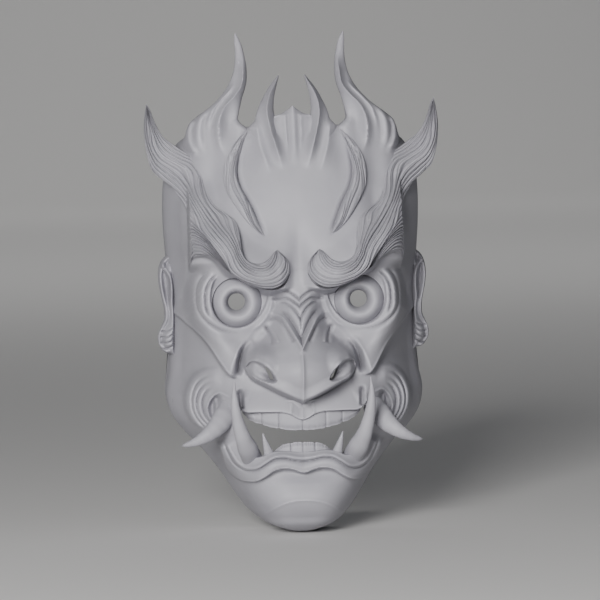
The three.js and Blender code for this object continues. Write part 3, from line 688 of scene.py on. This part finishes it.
def brow_hair(name, side):
    tuft = ([(0, 46), (0.1, 47.5), (0.22, 51), (0.32, 56), (0.45, 62), (1, 62)],
            [(0, 1), (0.2, 1), (0.3, 0.75), (0.42, 0.2), (0.5, 0), (1, 0)])
    main = ribbon(name, side, BROW_RIBBON,
                  lift=[(0, 0.6), (0.06, 3), (0.2, 5.5), (0.4, 5), (0.6, 4.2), (0.75, 5), (0.9, 6), (0.97, 4),
                        (1, 0.6)],
                  rise=[(0, 0.8), (0.06, 3), (0.2, 5), (0.4, 4.5), (0.6, 4.5), (0.75, 6), (0.9, 6.5), (1, 2)],
                  sink=[(0, 0.4), (0.06, 2), (0.2, 4), (0.35, 4), (1, 3)], seed=3, depth=tuft, calm=0.7)
    fan = ribbon(name + "_fan", side, BROW_FAN,
                 lift=[(0, 3.2), (0.4, 3.4), (0.7, 3.0), (1, 1.5)], rise=[(0, 4), (1, 3)],
                 sink=[(0, 3), (1, 2)], seed=8, strands=3.2, columns=230, crown=10.0)
    return join(name, [main, fan])


def forehead_lock(name, side):
    return ribbon(name, side, FOREHEAD_LOCK,
                  lift=[(0, 0.2), (0.15, 3.0), (0.5, 4.4), (0.8, 3.4), (1, 0.3)],
                  rise=[(0, 0.4), (0.2, 1.8), (0.5, 2.6), (0.8, 2.2), (1, 0.4)],
                  sink=[(0, 2.5), (0.2, 5), (0.8, 4), (1, 1.5)], seed=5, strands=1.7, columns=110,
                  form=sculpt)


# ---- Horns and crest: patches of the same sculpted front, standing free above the crown ----
PATCH_PROUD = 0.04


def horn(name, side, rows, thickness, step=0.6, columns=64):
    """rows are (z, inner x, outer x); thickness is the body behind the front at each z."""
    table = np.array(rows, float)
    z = np.arange(table[0, 0], table[-1, 0], step)
    z = np.r_[z, table[-1, 0]]
    edges = hermite(table[:, 0], table[:, 1:], z)
    inner, outer = edges[:, 0], edges[:, 1]
    q = np.sin(np.linspace(-math.pi / 2, math.pi / 2, columns))
    centre, half = (inner + outer) / 2, np.maximum((outer - inner) / 2, 0.15)
    x = centre[:, None] + half[:, None] * q[None, :]
    zz = np.repeat(z[:, None], columns, 1)
    settle_in = 0.6 * (1 - smooth((zz - z[0]) / 9.0))
    p = sculpt(x.ravel(), zz.ravel()).reshape(x.shape) + PATCH_PROUD - settle_in
    body = curve(thickness)(z)[:, None]
    reach = np.minimum(half[:, None], 5.5)
    edge = np.clip((np.abs(q)[None, :] - 1) * half[:, None] + reach, 0, reach) / reach
    roundness = np.minimum(reach, body * 0.55)
    p = p - roundness * (1 - np.sqrt(np.maximum(1 - edge ** 2, 0)))
    back_q = np.sin(np.linspace(math.pi / 2, -math.pi / 2, 20))[1:-1]
    middle = p[:, columns // 2 - 2:columns // 2 + 2].mean(1)[:, None]
    edge_depth = np.minimum(p[:, :1], p[:, -1:])
    back_x = centre[:, None] + half[:, None] * back_q[None, :]
    back_p = edge_depth - (body - (middle - edge_depth)).clip(0.3) * np.sqrt(1 - back_q[None, :] ** 2)
    ring_x = np.concatenate([x, back_x], 1)
    ring_p = np.concatenate([p, back_p], 1)
    ring_z = np.repeat(z[:, None], ring_x.shape[1], 1)
    if side == 0:
        return loft(name, place(ring_x, ring_z, ring_p), 50)
    return loft(name, place(side * ring_x, ring_z, ring_p), 50)


FLAME_ROWS = [(219, 34, 57), (222, 29, 61.5), (226, 27, 63.4), (231, 26.6, 62), (234, 26.4, 61.2),
              (235.4, 27.6, 60.6), (237, 29.6, 60), (239.5, 31.4, 57.8), (242.5, 31, 54), (246, 30.2, 49),
              (249, 29.4, 45.3), (252, 28.6, 42.3), (255, 27.6, 39.6), (258, 26.6, 37.4),
              (261, 25.9, 35.7), (264, 25.6, 34.3), (270, 25.6, 32.6),
              (278, 26.8, 31.9), (285, 28.8, 32.1), (288, 30.3, 31.9), (289.6, 31.2, 31.7)]
CREST_ROWS = [(206, 3.5, 12), (210, 3.2, 16), (218, 4.5, 20), (226, 7, 22.5), (232, 8.5, 25.4),
              (235, 9.2, 25.2), (236.6, 9.5, 23.8), (238, 9.8, 22.4),
              (242, 10.4, 21), (245, 10.8, 20), (248, 10.7, 18.7), (251, 10.4, 17.2), (254, 9.9, 15.6),
              (257, 9.2, 13.8), (260, 8.4, 11.7), (262.5, 7.7, 9.6), (264.6, 7.2, 7.9)]
PEAK_ROWS = [(206, -3, 3), (212, -7, 7), (222, -10, 10), (232, -11.2, 11.2), (240, -11.2, 11.2),
             (241.4, -10, 10), (242, -7.4, 7.4), (243, -5.2, 5.2), (244.6, -2.9, 2.9), (246, -1.0, 1.0),
             (246.6, -0.3, 0.3)]


# ---- Ears ----
EAR_EDGE = curve([(101, 73.5), (103, 77), (106, 79.2), (110, 80.4), (114, 80), (118, 78.2), (122, 76.6),
                  (128, 76.4), (135, 77.6), (142, 79), (150, 79.3), (155, 78.2), (158, 76.4), (160.6, 73)])


HELIX = [(72.4, 101.5), (77.2, 103.6), (80, 107.4), (80.3, 112), (78.6, 117.6), (76, 122.4), (75.6, 128),
         (76.8, 135.6), (78, 142.6), (78.2, 150), (76.6, 155.6), (73.4, 159.4), (71, 160)]
ANTIHELIX = [(77.6, 157), (75.2, 152.4), (72.6, 147.6), (71.6, 141), (72.4, 133.6), (73, 126)]


def ear_depth(x, z, edge):
    """The ear as the front sees it: a rolled rim, a deep bowl with a slanting fold, a scalloped lobe."""
    across = ((x - 70) / (edge - 70)).clip(0, 1)
    r = Relief(x, z, 38 - 17 * across ** 1.4 - 12 * np.square((z - 133) / 30) - 10 * bell(across, 0.14))
    r.stroke(HELIX, 8.0, 2.7, ends=(0.06, 0.04))
    r.stroke(ANTIHELIX, 5.0, 1.9, ends=(0.1, 0.3))
    r.bump(74.4, 140, -5.0, 2.4, 9)
    r.bump(75.6, 110, 6.0, 3.4, 7)
    for low in (103.5, 107, 110.5, 114):
        r.stroke([(71, low + 3.6), (74.5, low + 1.8), (79.5, low + 1.2)], -2.2, 1.3,
                 ends=(0.2, 0.2), sharp=True)
    return r.p


def ear(name, side):
    z = np.linspace(101, 160.6, 170)
    edge = EAR_EDGE(z)
    q = np.sin(np.linspace(-math.pi / 2, math.pi / 2, 56))
    inner = np.full_like(z, 69.6)
    x = ((inner + edge) / 2)[:, None] + ((edge - inner) / 2)[:, None] * q[None, :]
    zz = np.repeat(z[:, None], x.shape[1], 1)
    p = ear_depth(x.ravel(), zz.ravel(), np.repeat(edge, x.shape[1])).reshape(x.shape)
    p = p - 2.2 * (1 - np.sqrt(1 - ((q[None, :] - 0.5) / 0.5).clip(0) ** 2))
    thin = 7.5 * np.minimum(smooth((z - 100) / 8), smooth((162 - z) / 9))[:, None] + 1.5
    back = np.linspace(1, 0, 16)[1:-1]
    index = np.round(back * (x.shape[1] - 1)).astype(int)
    back_p = p[:, index] - thin * np.sqrt(np.sin(math.pi * back)).clip(0.5)[None, :] - 0.5
    return loft(name, place(side * np.concatenate([x, x[:, index]], 1), np.concatenate([zz, zz[:, index]], 1),
                            np.concatenate([p, back_p], 1)), 60)


# ---- Eyeballs ----
EYE_PROFILE = [
    (4.9, 73), (4.95, 76.4), (5.4, 79.4), (6.2, 82.2), (7.3, 84.4), (8.6, 85.4), (10.0, 85.1), (11.6, 83.6),
    (12.9, 81.6), (13.8, 80), (EYE_EDGE, 78.6), (EYE_EDGE, 64.2)]
EYE_BACK = [(EYE_EDGE + 3.6, 64.2), (EYE_EDGE + 3.6, 61), (11.4, 61), (10.6, 68), (9, 72), (6.8, 74)]


def eyeball(name, side, sides=96):
    profile = np.concatenate([path(EYE_PROFILE, step=0.45), np.array(EYE_BACK)])
    turn = np.linspace(0, 2 * math.pi, sides, endpoint=False)
    x = side * EYE_X + profile[:, :1] * np.cos(turn)[None, :]
    z = EYE_Z + profile[:, :1] * np.sin(turn)[None, :]
    p = np.repeat(profile[:, 1:2], sides, 1)
    points = place(x, z, p)
    points[:, :, 2] = place(x, z, np.full_like(p, EYE_LEVEL))[:, :, 2]
    count = len(profile)
    i = np.arange(count)[:, None]
    k = np.arange(sides)[None, :]
    after, beside = (i + 1) % count, (k + 1) % sides
    quads = np.stack([i * sides + k, i * sides + beside, after * sides + beside, after * sides + k], -1)
    return mesh_object(name, points.reshape(-1, 3), quads.reshape(-1, 4).tolist(), 50)


# ---- Tusks and fangs ----
def tusk(name, side, stations, sides=40, count=90):
    """stations are (x, z, p, radius across, radius through)."""
    rows = path([(x, z, p, a, b) for x, z, p, a, b in stations], count=count)
    centre = np.stack([rows[:, 0], -rows[:, 2], rows[:, 1]], -1)
    ahead = np.gradient(centre, axis=0)
    ahead /= np.linalg.norm(ahead, axis=1)[:, None]
    across = np.cross(ahead, (0, 1, 0))
    across /= np.linalg.norm(across, axis=1)[:, None]
    through = np.cross(across, ahead)
    turn = np.linspace(0, 2 * math.pi, sides, endpoint=False)
    swell = 1 + 0.015 * np.sin(np.arange(count) * 0.55)[:, None]
    a = rows[:, 3:4].clip(0.22) * np.cos(turn) * swell
    b = rows[:, 4:5].clip(0.22) * np.sin(turn) * swell
    ring = centre[:, None, :] + a[:, :, None] * across[:, None, :] + b[:, :, None] * through[:, None, :]
    return loft(name, place(side * ring[:, :, 0], ring[:, :, 2], -ring[:, :, 1]), 60)


LOWER_TUSK = [(26, 36, 74, 5.0, 4), (28.4, 42.5, 85, 5.8, 4.6), (31.6, 49.5, 98.5, 5.8, 5.0),
              (34.8, 57, 106, 4.5, 4.4), (37.3, 65.5, 109, 3.5, 3.6), (38.9, 75, 111, 2.5, 2.6),
              (39.3, 83, 111, 1.4, 1.5), (38.9, 89.6, 110, 0.25, 0.25)]
SIDE_TUSK = [(41.5, 73, 83, 6.0, 4.5), (44.5, 68.5, 89, 6.4, 4.8), (48.5, 63.6, 93.5, 5.6, 4.6),
             (53.5, 59.2, 96.5, 4.4, 4), (58.8, 56, 97.5, 3.2, 3.1), (63.6, 54, 96.5, 2.1, 2.1),
             (68.3, 52.8, 94, 0.8, 0.9), (69.3, 52.6, 93.4, 0.25, 0.25)]
SMALL_FANG = [(18.6, 40, 94, 2.6, 2.2), (19.4, 45.5, 96, 2.9, 2.3), (20.8, 50.5, 97.3, 2.1, 1.9),
              (22.1, 55, 98.2, 1.15, 1.2), (23, 58.6, 98.6, 0.25, 0.25)]


# ---- Teeth ----
def teeth(name, bounds, top, bottom, depth, thick, tip_up, seed):
    """A row of teeth: bounds are their edges on one half, top and bottom curves give z over x."""
    rng = np.random.default_rng(seed)
    edges = np.array(sorted({-b for b in bounds} | set(bounds)))
    x = np.linspace(edges[0], edges[-1], 420)
    cell = np.clip(np.searchsorted(edges, x, side="right") - 1, 0, len(edges) - 2)
    t = 2 * (x - edges[cell]) / (edges[cell + 1] - edges[cell]) - 1
    body = np.sqrt(np.maximum(1 - np.abs(t) ** 6, 0))
    rough = np.interp(x, np.linspace(edges[0], edges[-1], 60), rng.uniform(-0.22, 0.22, 60))
    tip = (top if tip_up else bottom)(np.abs(x)) + (-1 if tip_up else 1) * 0.7 * (1 - body) + rough
    root = (bottom if tip_up else top)(np.abs(x))
    s = np.linspace(0, 1, 22)[None, :]
    z = root[:, None] + (tip - root)[:, None] * s
    middle = depth(np.abs(x))[:, None]
    face = middle + body[:, None] - 0.5 - 1.6 * smooth((s - 0.72) / 0.28) ** 2
    back_z, back_p = z[:, ::-3], np.repeat(middle - thick, z[:, ::-3].shape[1], 1)
    ring_z = np.concatenate([z, back_z], 1)
    ring_p = np.concatenate([face, back_p], 1)
    ring_x = np.repeat(x[:, None], ring_z.shape[1], 1)
    return loft(name, place(ring_x, ring_z, ring_p), 50)


def upper_teeth():
    return teeth("upper_teeth", (0, 13.6, 23.2, 34), curve([(0, 77), (34, 78)]),
                 curve([(0, 59.9), (6, 60.1), (13.6, 61), (20, 62.6), (26, 64.6), (30, 66.6), (34, 70.2)]),
                 curve([(0, 100), (10, 99.2), (20, 96.8), (34, 91.5)]), 4.5, False, 11)


def lower_teeth():
    return teeth("lower_teeth", (0, 7, 16), curve([(0, 52.9), (6, 52.6), (10, 52), (13, 50.6), (16, 48.4)]),
                 curve([(0, 40), (16, 40)]), curve([(0, 97), (8, 96), (16, 93.5)]), 4.0, True, 12)


# ---- Material ----
def resin_material():
    """Unpainted light grey resin: faint print layers, mottled sheen, painted highlight on edges, painted
    shade in hollows.
    """
    material = bpy.data.materials.new("grey_resin")
    material.use_nodes = True
    nodes, links = material.node_tree.nodes, material.node_tree.links
    nodes.clear()
    output = nodes.new("ShaderNodeOutputMaterial")
    shader = nodes.new("ShaderNodeBsdfPrincipled")
    links.new(shader.outputs["BSDF"], output.inputs["Surface"])
    shader.inputs["IOR"].default_value = 1.47
    shader.inputs["Specular IOR Level"].default_value = 0.42
    place_at = nodes.new("ShaderNodeTexCoord")

    mottle = nodes.new("ShaderNodeTexNoise")
    mottle.inputs["Scale"].default_value = 38
    mottle.inputs["Detail"].default_value = 5
    links.new(place_at.outputs["Object"], mottle.inputs["Vector"])
    grain = nodes.new("ShaderNodeTexNoise")
    grain.inputs["Scale"].default_value = 1500
    grain.inputs["Detail"].default_value = 3
    links.new(place_at.outputs["Object"], grain.inputs["Vector"])

    tint = nodes.new("ShaderNodeValToRGB")
    tint.color_ramp.elements[0].position, tint.color_ramp.elements[1].position = 0.3, 0.72
    tint.color_ramp.elements[0].color = (0.340, 0.336, 0.374, 1)
    tint.color_ramp.elements[1].color = (0.398, 0.393, 0.430, 1)
    links.new(mottle.outputs["Fac"], tint.inputs["Fac"])

    # Painted shade and highlight: pointiness multiplies the colour by 0.72 in hollows (painted shade) up to
    # 1.16 on edges (painted highlight).
    geometry = nodes.new("ShaderNodeNewGeometry")
    edges = nodes.new("ShaderNodeMapRange")
    edges.inputs["From Min"].default_value, edges.inputs["From Max"].default_value = 0.44, 0.56
    edges.inputs["To Min"].default_value, edges.inputs["To Max"].default_value = 0.72, 1.16
    links.new(geometry.outputs["Pointiness"], edges.inputs["Value"])
    painted_shade_and_highlight = nodes.new("ShaderNodeMix")
    painted_shade_and_highlight.data_type, painted_shade_and_highlight.blend_type = "RGBA", "MULTIPLY"
    painted_shade_and_highlight.inputs["Factor"].default_value = 1
    links.new(tint.outputs["Color"], painted_shade_and_highlight.inputs["A"])
    links.new(edges.outputs["Result"], painted_shade_and_highlight.inputs["B"])
    links.new(painted_shade_and_highlight.outputs["Result"], shader.inputs["Base Color"])

    rough = nodes.new("ShaderNodeMapRange")
    rough.inputs["To Min"].default_value, rough.inputs["To Max"].default_value = 0.46, 0.60
    links.new(mottle.outputs["Fac"], rough.inputs["Value"])
    links.new(rough.outputs["Result"], shader.inputs["Roughness"])

    layers = nodes.new("ShaderNodeTexWave")
    layers.wave_type, layers.bands_direction = "BANDS", "Z"
    layers.inputs["Scale"].default_value = 620
    layers.inputs["Distortion"].default_value = 0.6
    layers.inputs["Detail"].default_value = 1
    links.new(place_at.outputs["Object"], layers.inputs["Vector"])
    layer_bump = nodes.new("ShaderNodeBump")
    layer_bump.inputs["Strength"].default_value = 0.10
    layer_bump.inputs["Distance"].default_value = 0.00012
    links.new(layers.outputs["Fac"], layer_bump.inputs["Height"])
    grain_bump = nodes.new("ShaderNodeBump")
    grain_bump.inputs["Strength"].default_value = 0.16
    grain_bump.inputs["Distance"].default_value = 0.0002
    links.new(grain.outputs["Fac"], grain_bump.inputs["Height"])
    links.new(layer_bump.outputs["Normal"], grain_bump.inputs["Normal"])
    links.new(grain_bump.outputs["Normal"], shader.inputs["Normal"])
    return material


def floor_material():
    material = bpy.data.materials.new("studio_floor")
    material.use_nodes = True
    nodes, links = material.node_tree.nodes, material.node_tree.links
    shader = nodes["Principled BSDF"]
    noise = nodes.new("ShaderNodeTexNoise")
    noise.inputs["Scale"].default_value = 3
    ramp = nodes.new("ShaderNodeValToRGB")
    ramp.color_ramp.elements[0].color = (0.74, 0.735, 0.725, 1)
    ramp.color_ramp.elements[1].color = (0.79, 0.785, 0.775, 1)
    links.new(noise.outputs["Fac"], ramp.inputs["Fac"])
    links.new(ramp.outputs["Color"], shader.inputs["Base Color"])
    shader.inputs["Roughness"].default_value = 0.85
    return material


# ---- Assembly ----
RESIN = resin_material()


def settle(piece, *nodes):
    """Gives a piece its material, hangs it on the root body, and hides the CAD nodes that it stands for."""
    piece.data.materials.clear()
    piece.data.materials.append(RESIN)
    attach(piece, "root")
    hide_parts(*nodes)


settle(face_shell(), *PANELS)
settle(upper_teeth(), "upper_teeth")
settle(lower_teeth(), "lower_teeth")
settle(horn("crest_peak", 0, PEAK_ROWS, [(206, 3), (222, 6), (235, 9), (242, 7), (247, 2)]), "crest_peak")
for side_name, sign in SIDES:
    makers = {
        "brow_hair": brow_hair,
        "forehead_lock": forehead_lock,
        "ear": ear,
        "eyeball": eyeball,
        "flame_horn": lambda n, s: horn(n, s, FLAME_ROWS, [
            (219, 4), (230, 12), (240, 13), (250, 11), (260, 8), (270, 6), (280, 4), (289.6, 0.8)]),
        "crest_horn": lambda n, s: horn(n, s, CREST_ROWS, [
            (206, 3), (226, 8), (240, 11), (250, 8.5), (258, 5), (264.6, 1)]),
        "lower_tusk": lambda n, s: tusk(n, s, LOWER_TUSK),
        "side_tusk": lambda n, s: tusk(n, s, SIDE_TUSK),
        "small_fang": lambda n, s: tusk(n, s, SMALL_FANG),
    }
    for kind, make in makers.items():
        node = f"{kind}_{side_name}"
        settle(make(node + "_skin", sign), node)


# ---- Stage, light and camera ----
def floor():
    """A wide pale sheet that lies flat under the mask and curves up far behind it."""
    low = CAD_BOX[0].z - 0.0015
    bend, wall, reach = 3.0, 7.0, 14.0
    turn = np.linspace(0, math.pi / 2, 25)
    profile = [(-reach, low)] + [(wall + bend * math.sin(t), low + bend * (1 - math.cos(t))) for t in turn]
    profile.append((wall + bend, low + reach))
    corners = [(x, y, z) for y, z in profile for x in (-reach, reach)]
    faces = [(2 * i, 2 * i + 1, 2 * i + 3, 2 * i + 2) for i in range(len(profile) - 1)]
    mesh = bpy.data.meshes.new("floor")
    mesh.from_pydata(corners, [], faces)
    mesh.shade_smooth()
    made = bpy.data.objects.new("floor", mesh)
    bpy.context.scene.collection.objects.link(made)
    made.data.materials.append(floor_material())


def area_light(name, place_at, size, power, colour, aim=(0, -0.06, 0)):
    light = bpy.data.lights.new(name, "AREA")
    light.shape, light.size, light.size_y = "RECTANGLE", size[0], size[1]
    light.energy, light.color = power, colour
    lamp = bpy.data.objects.new(name, light)
    lamp.location = place_at
    lamp.rotation_euler = (Vector(aim) - Vector(place_at)).to_track_quat("-Z", "Y").to_euler()
    bpy.context.scene.collection.objects.link(lamp)


def lights():
    area_light("key", (-0.52, -1.95, 0.44), (0.6, 0.6), 55, (1.0, 0.985, 0.97))
    area_light("fill", (1.6, -0.9, 0.5), (0.9, 0.9), 0.6, (0.80, 0.88, 1.0))
    area_light("floor_wash", (0.0, 3.2, 2.2), (4.0, 2.0), 30, (1.0, 0.99, 0.98), aim=(0.0, 3.6, -0.14))
    area_light("far_wash", (0.0, 6.3, 3.0), (4.0, 1.5), 48, (1.0, 0.99, 0.98), aim=(0.0, 8.4, 0.2))
    world = bpy.data.worlds.new("studio")
    world.use_nodes = True
    background = world.node_tree.nodes["Background"]
    background.inputs["Color"].default_value = (0.80, 0.86, 0.97, 1)
    background.inputs["Strength"].default_value = 0.05
    bpy.context.scene.world = world


CAMERA_DISTANCE = 2.3
FRAME_WIDTH = 0.348          # what the picture spans at the aim point, in metres
AIM = Vector((0.0017, -0.070, -0.0006))


def camera():
    data = bpy.data.cameras.new("camera")
    data.sensor_width = 36
    data.lens = data.sensor_width * CAMERA_DISTANCE / FRAME_WIDTH
    data.clip_end = 50
    view = bpy.data.objects.new("camera", data)
    azimuth, elevation = math.radians(VIEW_AZIMUTH), math.radians(VIEW_ELEVATION)
    direction = Vector((math.sin(azimuth) * math.cos(elevation), -math.cos(azimuth) * math.cos(elevation),
                        math.sin(elevation)))
    view.location = AIM + direction * CAMERA_DISTANCE
    turn = (AIM - view.location).to_track_quat("-Z", "Y").to_matrix().to_4x4()
    roll = math.radians(VIEW_ROLL)
    spin = Vector((0, 0, 1))
    view.rotation_euler = (turn @ Matrix.Rotation(-roll, 4, spin)).to_euler()
    bpy.context.scene.collection.objects.link(view)
    bpy.context.scene.camera = view


floor()
lights()
camera()
